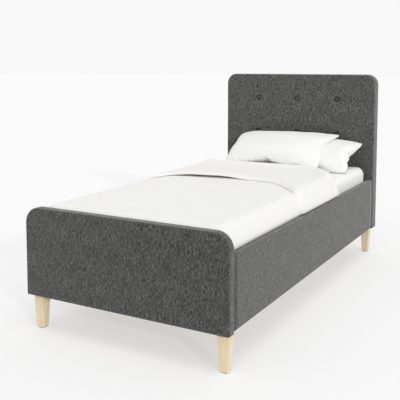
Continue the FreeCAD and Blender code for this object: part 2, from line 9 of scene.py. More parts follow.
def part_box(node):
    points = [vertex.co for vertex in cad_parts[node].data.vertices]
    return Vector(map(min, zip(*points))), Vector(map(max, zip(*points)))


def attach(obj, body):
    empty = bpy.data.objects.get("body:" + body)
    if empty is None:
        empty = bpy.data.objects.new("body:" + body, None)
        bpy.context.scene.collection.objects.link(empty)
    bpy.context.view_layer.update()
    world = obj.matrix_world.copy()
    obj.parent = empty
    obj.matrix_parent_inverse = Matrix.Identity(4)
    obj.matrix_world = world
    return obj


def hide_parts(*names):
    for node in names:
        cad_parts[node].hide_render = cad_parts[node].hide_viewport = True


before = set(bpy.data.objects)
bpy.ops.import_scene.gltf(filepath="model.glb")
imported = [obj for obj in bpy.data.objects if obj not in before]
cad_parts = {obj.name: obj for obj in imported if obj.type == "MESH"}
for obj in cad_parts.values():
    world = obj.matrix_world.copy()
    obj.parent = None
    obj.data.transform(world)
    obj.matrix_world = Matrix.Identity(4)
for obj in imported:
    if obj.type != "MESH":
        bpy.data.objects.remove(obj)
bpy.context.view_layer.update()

scene = bpy.context.scene
mm = 0.001
close = 1e-5  # two places this near are the same place
closer = 1e-6


# Shader maths: a socket that can be added to and multiplied

class Value:
    def __init__(self, paint, socket):
        self.paint, self.socket = paint, socket

    def math(self, operation, *others):
        inputs = dict(enumerate((self, *others)))
        return self.paint.node("ShaderNodeMath", {"operation": operation}, inputs)

    def otherOutput(self, which):
        return Value(self.paint, self.socket.node.outputs[which])

    def __add__(self, other):
        return self.math("ADD", other)

    def __mul__(self, other):
        return self.math("MULTIPLY", other)

    __radd__ = __add__
    __rmul__ = __mul__


class Paint:
    def __init__(self, owner):  # a material, or the world
        owner.use_nodes = True
        self.owner, self.tree = owner, owner.node_tree
        self.tree.nodes.clear()

    def node(self, kind, settings=None, inputs=None, output=0):
        made = self.tree.nodes.new(kind)
        for key, value in (settings or {}).items():
            if key == "stops":  # a colour ramp's (place, grey) pairs
                for stop, (place, tone) in zip(made.color_ramp.elements, value):
                    stop.position, stop.color = place, grey(tone)
                for place, tone in value[2:]:  # a new ramp has two stops
                    made.color_ramp.elements.new(place).color = grey(tone)
            else:
                setattr(made, key, value)
        for key, value in (inputs or {}).items():
            if isinstance(value, Value):
                self.tree.links.new(value.socket, made.inputs[key])
            else:
                made.inputs[key].default_value = value
        return Value(self, made.outputs[output]) if made.outputs else None

    def objectPlace(self):
        return self.node("ShaderNodeTexCoord", output="Object")

    def clothPlace(self):
        return self.node("ShaderNodeUVMap", {"uv_map": "cloth"})

    def stretched(self, place, scale, turn=(0, 0, 0)):
        return self.node("ShaderNodeMapping", inputs={"Vector": place, "Scale": scale, "Rotation": turn})

    def grain(self, place, scale=1.0, detail=2.0, roughness=0.5):
        inputs = {"Vector": place, "Scale": scale, "Detail": detail, "Roughness": roughness}
        return self.node("ShaderNodeTexNoise", inputs=inputs)

    def ramp(self, value, *stops):
        return self.node("ShaderNodeValToRGB", {"stops": stops}, {"Fac": value})

    def mix(self, share, first, second):
        inputs = {0: share, 6: first, 7: second}
        return self.node("ShaderNodeMix", {"data_type": "RGBA", "clamp_factor": True}, inputs, output=2)

    def bump(self, height, depth, before=None):
        inputs = {"Height": height, "Distance": depth}
        if before:
            inputs["Normal"] = before
        return self.node("ShaderNodeBump", inputs=inputs)

    def finish(self, colour, roughness, normal=None, **plain):
        inputs = {"Base Color": colour, "Roughness": roughness}
        if normal:
            inputs["Normal"] = normal
        inputs.update({key.replace("_", " "): value for key, value in plain.items()})
        shader = self.node("ShaderNodeBsdfPrincipled", inputs=inputs)
        self.node("ShaderNodeOutputMaterial", inputs={"Surface": shader})
        return self.owner


def newPaint(name):
    return Paint(bpy.data.materials.new(name))


def rgb(red, green, blue):
    return (red, green, blue, 1)


def grey(tone):
    return rgb(tone, tone, tone)


# Materials

weave = {
    # each kind of thread: grains in a metre of cloth, across and up, then their roughness and share
    "upright": ((330, 64, 1), 0.6, 0.60), "strand": ((300, 14, 1), 0.5, 0.33),
    "across": ((84, 400, 1), 0.6, 0.46), "fleck": ((560, 400, 1), 0.5, 0.24),
    "cloud": 14.0, "cloudShare": 0.06, "low": 0.66, "high": 1.10, "contrast": 1.5,
    # gap is painted shade: the near black the cloth is mixed towards round the buttons
    "dark": 0.004, "light": 0.295, "gap": 0.004, "thread": 2.6 * mm, "relief": 0.35 * mm,
}


# lift scales the cloth's tones to the light that falls on the part it covers, painted light and shade;
# blue is the share of blue kept
def charcoalWeave(name, lift, blue=0.975):
    paint = newPaint(name)
    place = paint.clothPlace()

    def threads(kind):
        scale, roughness, share = weave[kind]
        return paint.grain(paint.stretched(place, scale), detail=1.0, roughness=roughness) * share

    tone = threads("upright") + threads("strand") + threads("across") + threads("fleck")
    tone = tone + paint.grain(place, weave["cloud"]) * weave["cloudShare"]
    share = paint.node("ShaderNodeMapRange", inputs={
        "Value": tone, "From Min": weave["low"], "From Max": weave["high"], "To Min": 0.0, "To Max": 1.0})
    dark, light = weave["dark"] * lift, weave["light"] * lift
    colour = paint.mix(share.math("POWER", weave["contrast"]),
                       rgb(dark, dark, dark * blue), rgb(light, light, light * blue))
    # painted shade: the colour is mixed towards near black where the shade attribute marks the gaps round
    # the buttons
    shade = paint.node("ShaderNodeAttribute", {"attribute_name": "shade"}, output="Fac")
    colour = paint.mix(shade, colour, grey(weave["gap"]))
    across = paint.node("ShaderNodeSeparateXYZ", inputs={"Vector": place})
    turns = 2 * math.pi / weave["thread"]
    warp = (across * turns).math("SINE")
    weft = (across.otherOutput("Y") * turns).math("SINE")
    normal = paint.bump(warp * weft * 0.5 + share, weave["relief"])
    return paint.finish(colour, 0.92, normal, Sheen_Weight=0.35, Sheen_Roughness=0.5,
                        Specular_IOR_Level=0.25)


def liningCloth():
    paint = newPaint("liningCloth")
    place = paint.objectPlace()
    fibre = paint.grain(place, scale=700)
    blotch = paint.grain(place, scale=25, detail=3)
    colour = paint.mix(fibre * 0.6 + blotch * 0.4, rgb(0.022, 0.022, 0.024), rgb(0.075, 0.075, 0.08))
    return paint.finish(colour, 0.95, paint.bump(fibre, 0.25 * mm), Sheen_Weight=0.2)


cotton = {"thread": (1500, 1100, 1), "threadDepth": 0.06 * mm, "soft": 6.0,
          "crease": (20, 55, 1), "creaseTurn": 0.5, "creaseDepth": 0.9 * mm}


def whiteCotton(name, light, shade):
    paint = newPaint(name)
    place = paint.clothPlace()
    thread = paint.grain(paint.stretched(place, cotton["thread"]), detail=1)
    soft = paint.grain(place, cotton["soft"], detail=3)
    creased = paint.stretched(place, cotton["crease"], (0, 0, cotton["creaseTurn"]))
    crease = paint.grain(creased, detail=3, roughness=0.55)
    colour = paint.mix(soft * 0.45 + thread * 0.3, light, shade)
    normal = paint.bump(crease, cotton["creaseDepth"], paint.bump(thread, cotton["threadDepth"]))
    return paint.finish(colour, 0.86, normal, Sheen_Weight=0.15, Sheen_Roughness=0.6)


def ticking():
    paint = newPaint("ticking")
    place = paint.clothPlace()
    knit = paint.grain(paint.stretched(place, (420, 420, 1)))
    cell = paint.node("ShaderNodeTexVoronoi", {"feature": "SMOOTH_F1"}, {
        "Vector": paint.stretched(place, (22, 22, 1)), "Scale": 1.0})
    colour = paint.mix(knit * 0.5, rgb(0.83, 0.83, 0.815), rgb(0.66, 0.665, 0.66))
    return paint.finish(colour, 0.88, paint.bump(cell, 1.6 * mm, paint.bump(knit, 0.3 * mm)))


wooden = {"across": 34, "along": 1.7, "bend": 0.35, "sway": 0.05, "rings": 3.2, "fibre": 22}


def wood(name, light, dark, alongAxis, gloss=0.5):
    paint = newPaint(name)
    place = paint.objectPlace()
    squeeze = [wooden["along"] if axis == alongAxis else wooden["across"] for axis in "xyz"]
    bend = paint.grain(paint.stretched(place, tuple(s * wooden["bend"] for s in squeeze)))
    bent = paint.node("ShaderNodeVectorMath", {"operation": "MULTIPLY_ADD"}, {
        0: bend.otherOutput("Color"), 1: [wooden["sway"]] * 3, 2: place})
    ring = paint.grain(paint.stretched(bent, tuple(squeeze)), wooden["rings"], detail=3, roughness=0.55)
    fibre = paint.grain(paint.stretched(place, tuple(s * wooden["fibre"] for s in squeeze)))
    line = paint.ramp(ring, (0.36, 0.0), (0.50, 1.0), (0.66, 0.25))
    colour = paint.mix(line * 0.62 + fibre * 0.42, light, dark)
    normal = paint.bump(fibre, 0.12 * mm)
    return paint.finish(colour, gloss + fibre * 0.12, normal, Coat_Weight=0.12, Coat_Roughness=0.3)


def plywood():
    paint = newPaint("plywood")
    place = paint.objectPlace()
    layer = paint.grain(paint.stretched(place, (9, 300, 2)))
    figure = paint.grain(paint.stretched(place, (14, 14, 2)), scale=2.5, detail=3)
    colour = paint.mix(layer * 0.4 + figure * 0.6, rgb(0.66, 0.50, 0.31), rgb(0.43, 0.29, 0.15))
    return paint.finish(colour, 0.7, paint.bump(figure, 0.2 * mm))


def foam():
    paint = newPaint("foam")
    place = paint.objectPlace()
    cell = paint.node("ShaderNodeTexVoronoi", {"feature": "F1"}, {"Vector": place, "Scale": 900.0})
    stain = paint.grain(place, scale=14, detail=3)
    colour = paint.mix(stain * 0.5 + cell * 0.3, rgb(0.83, 0.78, 0.58), rgb(0.62, 0.55, 0.36))
    return paint.finish(colour, 0.95, paint.bump(cell, 0.6 * mm))


def steel(name, base, worn, roughness, metallic):
    paint = newPaint(name)
    place = paint.objectPlace()
    scuff = paint.grain(place, scale=210, detail=4, roughness=0.65)
    patch = paint.grain(place, scale=35, detail=3)
    share = paint.ramp(scuff * 0.6 + patch * 0.4, (0.52, 0.0), (0.68, 1.0))
    colour = paint.mix(share, base, worn)
    return paint.finish(colour, roughness + scuff * 0.22, paint.bump(scuff, 0.05 * mm), Metallic=metallic)


def blackPlastic():
    paint = newPaint("blackPlastic")
    place = paint.objectPlace()
    pebble = paint.grain(place, scale=1600)
    dust = paint.grain(place, scale=60, detail=3)
    colour = paint.mix(dust * 0.6, rgb(0.018, 0.018, 0.019), rgb(0.06, 0.06, 0.058))
    return paint.finish(colour, 0.5 + dust * 0.2, paint.bump(pebble, 0.08 * mm))


def wovenTape():
    paint = newPaint("wovenTape")
    place = paint.objectPlace()
    rib = paint.node("ShaderNodeTexWave", {"wave_type": "BANDS", "bands_direction": "Y"}, {
        "Vector": place, "Scale": 260.0, "Distortion": 0.6, "Detail": 1.0})
    grime = paint.grain(place, scale=40)
    colour = paint.mix(rib * 0.35 + grime * 0.3, rgb(0.80, 0.79, 0.74), rgb(0.55, 0.54, 0.50))
    return paint.finish(colour, 0.9, paint.bump(rib, 0.3 * mm))


frameTimber = (rgb(0.72, 0.55, 0.34), rgb(0.47, 0.31, 0.15))
finishes = {
    # three copies of one cloth, each with its own lift, painted light and shade for how light falls on
    # each part: the footboard's copy is painted darker, the rails' copy a little darker and warmer
    "charcoal_weave": charcoalWeave("charcoalWeave", lift=1.06),
    "foot_weave_painted_shade": charcoalWeave("footWeavePaintedShade", lift=0.81),
    "rail_weave_painted_light": charcoalWeave("railWeavePaintedLight", lift=1.02, blue=0.94),
    "lining_cloth": liningCloth(),
    "foam": foam(),
    "pine": wood("pine", rgb(0.99, 0.89, 0.69), rgb(0.85, 0.67, 0.42), "z"),
    "frame_timber": wood("frameTimber", *frameTimber, "z", gloss=0.65),
    "frame_timber_long": wood("frameTimberLong", *frameTimber, "y", gloss=0.65),
    "frame_timber_cross": wood("frameTimberCross", *frameTimber, "x", gloss=0.65),
    "plywood": plywood(),
    "slat_pine": wood("slatPine", rgb(0.82, 0.66, 0.42), rgb(0.60, 0.41, 0.20), "x", gloss=0.6),
    "black_steel": steel("blackSteel", rgb(0.022, 0.022, 0.024), grey(0.07), 0.38, metallic=0.0),
    "zinc_steel": steel("zincSteel", rgb(0.60, 0.61, 0.62), rgb(0.42, 0.43, 0.45), 0.26, metallic=1.0),
    "black_plastic": blackPlastic(),
    "tape": wovenTape(),
    "white_cotton": whiteCotton("whiteCotton", rgb(0.875, 0.873, 0.865), rgb(0.815, 0.812, 0.80)),
    "duvet_cotton": whiteCotton("duvetCotton", rgb(0.855, 0.85, 0.838), rgb(0.80, 0.795, 0.78)),
    "pillow_cotton": whiteCotton("pillowCotton", rgb(0.872, 0.870, 0.865), rgb(0.822, 0.82, 0.813)),
    "ticking": ticking(),
}
print("materials:", len(finishes))


# Mesh helpers

def boxed(low, high):
    bm = bmesh.new()
    bmesh.ops.create_cube(bm, size=1)
    bmesh.ops.scale(bm, vec=high - low, verts=bm.verts)
    bmesh.ops.translate(bm, vec=(low + high) / 2, verts=bm.verts)
    return bm


def edgesAlong(bm, axis, least):  # the edges that run further than this along an axis
    return [e for e in bm.edges if abs(e.verts[0].co[axis] - e.verts[1].co[axis]) > least]


def bevelled(bm, edges, radius, segments):
    bmesh.ops.bevel(bm, geom=list(edges), offset=radius, offset_type="OFFSET", affect="EDGES",
                    segments=segments, profile=0.5, material=-1, clamp_overlap=True)


def sliced(bm, axis, places):
    direction = Vector([1.0 if i == axis else 0.0 for i in range(3)])
    for place in places:
        geom = bm.verts[:] + bm.edges[:] + bm.faces[:]
        bmesh.ops.bisect_plane(bm, geom=geom, dist=closer, plane_co=direction * place, plane_no=direction)


def steps(start, end, pitch):
    count = max(1, round((end - start) / pitch))
    return [start + (end - start) * i / count for i in range(1, count)]


def dropFaces(bm, wanted):
    bmesh.ops.delete(bm, geom=[f for f in bm.faces if wanted(f, f.calc_center_median())], context="FACES")


def layCloth(mesh):  # a map in metres, laid flat along whichever way each face looks
    layer = mesh.uv_layers.new(name="cloth")
    for face in mesh.polygons:
        side = max(range(3), key=lambda axis: abs(face.normal[axis]))
        across, up = ((1, 2), (0, 2), (0, 1))[side]
        for loop in face.loop_indices:
            place = mesh.vertices[mesh.loops[loop].vertex_index].co
            layer.data[loop].uv = (place[across], place[up])


def madePiece(name, bm, slotName, body, nodes=(), finish=None, thickness=0.0, subdivide=0):
    mesh = bpy.data.meshes.new(name)
    bmesh.ops.triangulate(bm, faces=[f for f in bm.faces if len(f.verts) > 4])
    bm.to_mesh(mesh)
    bm.free()
    mesh.polygons.foreach_set("use_smooth", [True] * len(mesh.polygons))
    mesh.materials.append(finishes[finish or slotName])
    layCloth(mesh)
    piece = bpy.data.objects.new(name, mesh)
    scene.collection.objects.link(piece)
    if thickness:
        wall = piece.modifiers.new("wall", "SOLIDIFY")
        wall.thickness, wall.offset, wall.use_even_offset = thickness, -1.0, True
    if subdivide:
        soft = piece.modifiers.new("soft", "SUBSURF")
        soft.levels = soft.render_levels = subdivide
    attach(piece, body)
    if nodes:
        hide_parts(*nodes)
    return piece


def ease(value, start, end):  # 0 before the start, 1 past the end, and a smooth rise between
    share = min(1.0, max(0.0, (value - start) / (end - start)))
    return share * share * (3 - 2 * share)


def ripple(x, y, seed, size):
    return noise.noise(Vector((x / size, y / size, seed)))


# Headboard and footboard: a cloth cover over foam, pulled in where the buttons sit

board = {
    "headCorner": 62 * mm, "footCorner": 70 * mm, "cornerSteps": 14, "roll": 8.0 * mm, "rollSteps": 6,
    "backRoll": 5.0 * mm, "backSteps": 3, "seam": 10.0 * mm, "seamHalf": 1.4 * mm, "seamDepth": 0.8 * mm,
    "seamMargin": 4 * mm, "cloth": 1.0 * mm, "foamInset": 2.6 * mm, "crown": 2.2 * mm, "crownIn": 0.16,
    "crownFrom": -20 * mm, "crownUp": 120 * mm, "slack": 0.5 * mm, "slackFrom": 12 * mm,
    "slackIn": 50 * mm, "pitch": 14 * mm,
}
dimple = {
    "radius": 13.0 * mm, "depth": 11.0 * mm, "reach": 6.0 * mm, "wide": 2.4 * mm, "wideReach": 24 * mm,
    "fine": 3.0 * mm, "fineLines": 13, "fineClear": 7 * mm, "folds": 7, "foldDepth": 1.9 * mm,
    # shade, dark and darkFade: the ring of painted shade round each button, how dark it is, how far out it
    # reaches and how it fades
    "span": 0.10, "fade": 0.03, "shade": 0.88, "dark": 22 * mm, "darkFade": 9 * mm,
}
# shade: how dark the buttons' rims are painted, painted shade
button = {"spacing": 0.267, "rise": 6.5 * mm, "rim": 0.12, "seat": 2 * mm, "hidden": 3.5 * mm,
          "around": 28, "rings": 16, "shade": 0.7}


def buttonPlaces():
    low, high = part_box("headboard_buttons")
    radius = (high.x - low.x) / 2 - button["spacing"]
    across = [low.x + radius, 0.0, high.x - radius]
    up = [low.z + radius, high.z - radius]
    return [(x, z) for x in across for z in up], radius


def boardBlank(low, high, corner):
    # a block with its upper corners rounded, lines for the sewn edge and rolled rims
    bm = boxed(low, high)
    upper = [e for e in edgesAlong(bm, 1, 0.1 * mm) if all(v.co.z > high.z - closer for v in e.verts)]
    bevelled(bm, upper, corner, board["cornerSteps"])
    front = min(bm.faces, key=lambda f: f.calc_center_median().y)
    seam, half = board["seam"], board["seamHalf"]
    for gap in (seam - half, half, half, board["seamMargin"]):
        bmesh.ops.inset_region(bm, faces=[front], thickness=gap, use_even_offset=True)
    seamY = low.y + seam
    sliced(bm, 1, [seamY - half, seamY, seamY + half])
    sideSeam = [v for v in bm.verts if abs(v.co.y - seamY) < close]
    rims = (low.y, board["roll"], board["rollSteps"]), (high.y, board["backRoll"], board["backSteps"])
    for y, roll, count in rims:
        rim = [e for e in bm.edges if all(abs(v.co.y - y) < closer for v in e.verts)
               and any(abs(f.normal.y) < 0.5 for f in e.link_faces)
               and any(v.co.z > low.z + closer for v in e.verts)]
        bevelled(bm, rim, roll, count)
    return bm, sideSeam


def openForLining(bm, name, low, high):
    liningLow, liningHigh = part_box(f"{name}_lining")
    sliced(bm, 0, [liningLow.x, liningHigh.x])
    sliced(bm, 2, [liningHigh.z])
    dropFaces(bm, lambda f, c: c.z < low.z + close and abs(f.normal.z) > 0.9)
    dropFaces(bm, lambda f, c: c.y > high.y - close and liningLow.x < c.x < liningHigh.x
              and c.z < liningHigh.z)


def slicedFinely(bm, low, high, places):
    # fine lines where the cloth is pulled in, coarse ones elsewhere
    reach = range(-dimple["fineLines"], dimple["fineLines"] + 1)
    for axis, centres in ((0, [x for x, z in places]), (2, [z for x, z in places])):
        fine = {round(centre + i * dimple["fine"], 5) for centre in centres for i in reach}
        coarse = [at for at in steps(low[axis], high[axis], board["pitch"])
                  if all(abs(at - line) > dimple["fineClear"] for line in fine)]
        sliced(bm, axis, sorted(fine) + coarse)


# besides the dimples, it marks the ring of painted shade round each button in the shade attribute
def pullIn(vert, shade, places):  # the dimples, with folds that run out from them
    for i, (x, z) in enumerate(places):
        across, up = vert.co.x - x, vert.co.z - z
        away = math.hypot(across, up)
        if away < dimple["span"]:
            beyond = max(0.0, away - dimple["radius"])
            pull, wide = math.exp(-beyond / dimple["reach"]), math.exp(-beyond / dimple["wideReach"])
            turn = math.atan2(up, across)
            fold = math.cos(dimple["folds"] * turn + i * 1.7) + 0.6 * math.cos(4 * turn + i * 0.9)
            sunk = dimple["depth"] * pull + dimple["wide"] * wide
            sunk -= wide * (1 - wide) * 2 * dimple["foldDepth"] * fold
            vert.co.y += sunk * ease(dimple["span"] - away, 0, dimple["fade"])
            # painted shade: marks the ring round the button for the cloth to darken
            vert[shade] = dimple["shade"] * ease(dimple["dark"] - away, 0, dimple["darkFade"])


def fromRim(place, low, high, corner):  # how far in from the sides, the top and its corners
    nearX, nearZ = min(place.x - low.x, high.x - place.x), high.z - place.z
    if nearX < corner and nearZ < corner:
        return corner - math.hypot(corner - nearX, corner - nearZ)
    return min(nearX, nearZ)


def boardCover(name, corner, places, inset, finish):
    low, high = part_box(f"{name}_cover")
    low, high = low + Vector((inset, inset, 0)), high - Vector((inset, inset, inset))
    corner -= inset
    bm, sideSeam = boardBlank(low, high, corner)
    openForLining(bm, name, low, high)
    slicedFinely(bm, low, high, places)
    bm.normal_update()
    for vert in sideSeam:
        if vert.is_valid and vert.co.z > low.z + 2 * mm:
            outward = Vector((vert.normal.x, 0, vert.normal.z))
            if outward.length > 0.1:
                vert.co -= outward.normalized() * board["seamDepth"]
    shade = bm.verts.layers.float.new("shade")
    for vert in bm.verts:
        if vert.co.y > low.y + closer:
            continue
        inside = fromRim(vert.co, low, high, corner)
        if abs(inside - board["seam"]) < board["seamHalf"] * 0.6:
            vert.co.y += board["seamDepth"]
        crown = board["crown"] * ease(inside, board["seam"], board["crownIn"])
        crown *= ease(vert.co.z - low.z, board["crownFrom"], board["crownUp"])
        vert.co.y -= crown * (0.85 + 0.3 * ripple(vert.co.x, vert.co.z, 3.1, 0.35))
        slack = board["slack"] * ripple(vert.co.x, vert.co.z, 7.7, 0.09)
        vert.co.y += slack * ease(inside, board["slackFrom"], board["slackIn"])
        pullIn(vert, shade, places)
    if inset:
        madePiece(f"{name}Foam", bm, "foam", "bed_frame", [f"{name}_foam"])
    else:
        madePiece(f"{name}Cover", bm, "charcoal_weave", "bed_frame", [f"{name}_cover"], finish=finish,
                  thickness=board["cloth"])


places, buttonRadius = buttonPlaces()
for inset in (0.0, board["foamInset"]):
    boardCover("headboard", board["headCorner"], places, inset, "charcoal_weave")
    # the footboard's cover takes the copy of the cloth painted darker, painted shade
    boardCover("footboard", board["footCorner"], [], inset, "foot_weave_painted_shade")
print("boards: covered, with", len(places), "dimples")


def coveredButtons():
    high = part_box("headboard_buttons")[1]
    bm = bmesh.new()
    for x, z in places:
        made = bmesh.ops.create_uvsphere(bm, u_segments=button["around"], v_segments=button["rings"],
                                         radius=buttonRadius)
        verts = made["verts"]
        bmesh.ops.rotate(bm, cent=(0, 0, 0), matrix=Matrix.Rotation(math.pi / 2, 3, "X"), verts=verts)
        for vert in verts:
            flat = math.hypot(vert.co.x, vert.co.z) / buttonRadius
            vert.co.y *= button["rise"] / buttonRadius * (1.0 + button["rim"] * flat)
        bmesh.ops.translate(bm, vec=(x, high.y + button["seat"], z), verts=verts)
    dropFaces(bm, lambda f, c: c.y > high.y + button["hidden"])
    # painted shade: each button is marked darker towards its rim, its middle left light
    shade = bm.verts.layers.float.new("shade")
    for vert in bm.verts:
        away = min(math.hypot(vert.co.x - x, vert.co.z - z) for x, z in places)
        vert[shade] = button["shade"] * ease(away, buttonRadius * 0.45, buttonRadius * 0.95)
    madePiece("headboardButtons", bm, "charcoal_weave", "bed_frame", ["headboard_buttons"])


coveredButtons()
print("buttons:", len(places))


# Side rail covers

rail = {
    "roll": 8.0 * mm, "rollSteps": 5, "innerRoll": 2.5 * mm, "innerSteps": 2, "turnIn": 45 * mm,
    "pitch": 45 * mm, "edge": 20 * mm, "cloth": 0.9 * mm, "puff": 1.2 * mm, "slack": 0.9 * mm,
    "fade": 50 * mm,
}


def railCover(side, outward):
    low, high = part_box(f"side_rail_cover_{side}")
    outer, inner = (high.x, low.x) if outward > 0 else (low.x, high.x)
    bm = boxed(low, high)
    outerEdges = [e for e in edgesAlong(bm, 1, 1.0) if abs(e.verts[0].co.x - outer) < closer]
    bevelled(bm, outerEdges, rail["roll"], rail["rollSteps"])
    innerTop = [e for e in edgesAlong(bm, 1, 1.0) if abs(e.verts[0].co.x - inner) < closer
                and e.verts[0].co.z > high.z - closer]
    bevelled(bm, innerTop, rail["innerRoll"], rail["innerSteps"])
    sliced(bm, 2, [high.z - rail["turnIn"]])
    dropFaces(bm, lambda f, c: abs(f.normal.y) > 0.9)
    dropFaces(bm, lambda f, c: abs(c.x - inner) < close and c.z < high.z - rail["turnIn"])
    sliced(bm, 1, steps(low.y, high.y, rail["pitch"]))
    sliced(bm, 2, steps(low.z + rail["edge"], high.z - rail["edge"], rail["pitch"]))
    for vert in bm.verts:
        if abs(vert.co.x - outer) < close:
            full = ease(vert.co.z, low.z, low.z + rail["fade"]) * ease(high.z - vert.co.z, 0, rail["fade"])
            swell = rail["puff"] + rail["slack"] * ripple(vert.co.y, vert.co.z, 1.3 * outward, 0.22)
            vert.co.x += outward * full * swell
    # the rails take the copy of the cloth with painted light, a little darker and warmer
    madePiece(f"sideRailCover{side.title()}", bm, "charcoal_weave", "bed_frame",
              [f"side_rail_cover_{side}"], finish="rail_weave_painted_light", thickness=rail["cloth"])


railCover("right", 1)
railCover("left", -1)
print("side rails: covered")


# Legs

leg = {"edge": 3.0 * mm, "edgeSteps": 4, "toeEdge": 1.6 * mm, "toeSteps": 2, "toe": 36 * mm}


def taperedLeg(end, side):
    node = f"leg_{end}_{side}"
    low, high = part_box(node)
    middle = (low + high) / 2
    bm = boxed(low, high)
    shrink = leg["toe"] / (high.x - low.x)
    for vert in bm.verts:
        if vert.co.z < middle.z:
            vert.co.x = middle.x + (vert.co.x - middle.x) * shrink
            vert.co.y = middle.y + (vert.co.y - middle.y) * shrink
    bevelled(bm, edgesAlong(bm, 2, 50 * mm), leg["edge"], leg["edgeSteps"])
    toe = [e for e in bm.edges if all(v.co.z < low.z + close for v in e.verts)]
    bevelled(bm, toe, leg["toeEdge"], leg["toeSteps"])
    piece = madePiece("leg" + end.title() + side.title(), bm, "pine", "bed_frame", [node])
    piece.modifiers.new("flat", "WEIGHTED_NORMAL").keep_sharp = True


for end, side in (("front", "left"), ("front", "right"), ("rear", "right"), ("rear", "left")):
    taperedLeg(end, side)
print("legs: 4")


# Mattress and fitted sheet

bed = {"roll": 76 * mm, "corner": 45 * mm, "steps": 7, "finer": 3, "pitch": 26 * mm, "edge": 30 * mm}
ticked = {"inset": 4 * mm, "seamDepth": 1.2 * mm, "seamFade": 30 * mm, "pipe": 3.2 * mm, "pipeWall": 1.6,
          "pipeEdge": 1.2 * mm}
fitted = {"cloth": 0.7 * mm, "turnUnder": 120 * mm, "pull": 0.13, "tuck": 0.8 * mm, "slack": 0.7 * mm,
          "seat": 1.3 * mm}


def softBlock(low, high, grow):
    bm = boxed(low, high)
    bevelled(bm, edgesAlong(bm, 2, 50 * mm), bed["corner"] + grow, bed["steps"])
    flat = [e for e in bm.edges if abs(e.verts[0].co.z - e.verts[1].co.z) < close
            and any(abs(f.normal.z) > 0.9 for f in e.link_faces)
            and any(abs(f.normal.z) < 0.5 for f in e.link_faces)]
    top = [e for e in flat if e.verts[0].co.z > high.z - close]
    bevelled(bm, top, bed["roll"] + grow, bed["steps"] + bed["finer"])
    base = [e for e in flat if e.is_valid and e.verts[0].co.z < low.z + close]
    bevelled(bm, base, bed["roll"] / 2 + grow, bed["steps"])
    sliced(bm, 0, steps(low.x, high.x, bed["pitch"]))
    sliced(bm, 1, steps(low.y, high.y, bed["pitch"]))
    sliced(bm, 2, steps(low.z + bed["edge"], high.z - bed["edge"], bed["pitch"]))
    bm.normal_update()
    return bm


def tapedEdge(name, low, high, z):
    pipe = ticked["pipe"]
    bm = boxed(Vector((low.x, low.y, z - pipe)), Vector((high.x, high.y, z + pipe)))
    dropFaces(bm, lambda f, c: abs(f.normal.z) > 0.5)
    bevelled(bm, edgesAlong(bm, 2, 1 * mm), bed["corner"], bed["steps"] + bed["finer"])
    edge = madePiece(name, bm, "tape", "mattress", thickness=pipe * ticked["pipeWall"])
    edge.modifiers.new("soft", "BEVEL").width = ticked["pipeEdge"]


def makeMattress():
    low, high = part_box("mattress")
    inset = Vector([ticked["inset"]] * 3)
    low, high = low + inset, high - inset
    bm = softBlock(low, high, -ticked["inset"])
    for vert in bm.verts:
        seam = min(abs(vert.co.z - (high.z - bed["roll"])), abs(vert.co.z - (low.z + bed["roll"])))
        side = 1 - abs(vert.normal.z)
        vert.co -= vert.normal * (ticked["seamDepth"] * (1 - ease(seam, 0, ticked["seamFade"])) * side)
    madePiece("mattress", bm, "ticking", "mattress", ["mattress"])
    tapedEdge("mattressPipeTop", low, high, high.z - bed["roll"])
    tapedEdge("mattressPipeBase", low, high, low.z + bed["roll"] / 2)


def makeSheet():
    low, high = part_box("fitted_sheet")
    bm = softBlock(low, high, 0)
    under = fitted["turnUnder"]
    wide, foot, head = high.x - under, low.y + under, high.y - under
    sliced(bm, 0, [-wide, wide])
    sliced(bm, 1, [foot, head])
    dropFaces(bm, lambda f, c: c.z < low.z + close and abs(c.x) < wide and foot < c.y < head)
    for vert in bm.verts:
        nearEnd = min(vert.co.y - low.y, high.y - vert.co.y)
        nearSide = min(vert.co.x - low.x, high.x - vert.co.x)
        pull = math.exp(-math.hypot(max(nearEnd, 0), max(nearSide, 0)) / fitted["pull"])
        side = 1 - abs(vert.normal.z)
        pleat = ripple(vert.co.x * 1.5, vert.co.y * 1.5 + vert.co.z, 4.4, 0.03)
        slack = fitted["slack"] * ripple(vert.co.x, vert.co.y + vert.co.z, 9.2, 0.16)
        seat = fitted["seat"] * (0.4 + 0.6 * side)
        vert.co -= vert.normal * (seat + fitted["tuck"] * pleat * pull + slack)
    sheet = madePiece("fittedSheet", bm, "white_cotton", "mattress", ["fitted_sheet"],
                      thickness=fitted["cloth"])


makeMattress()
makeSheet()
print("mattress and sheet: made")


# Duvet: one quilt laid over the bed, its head end turned back over itself

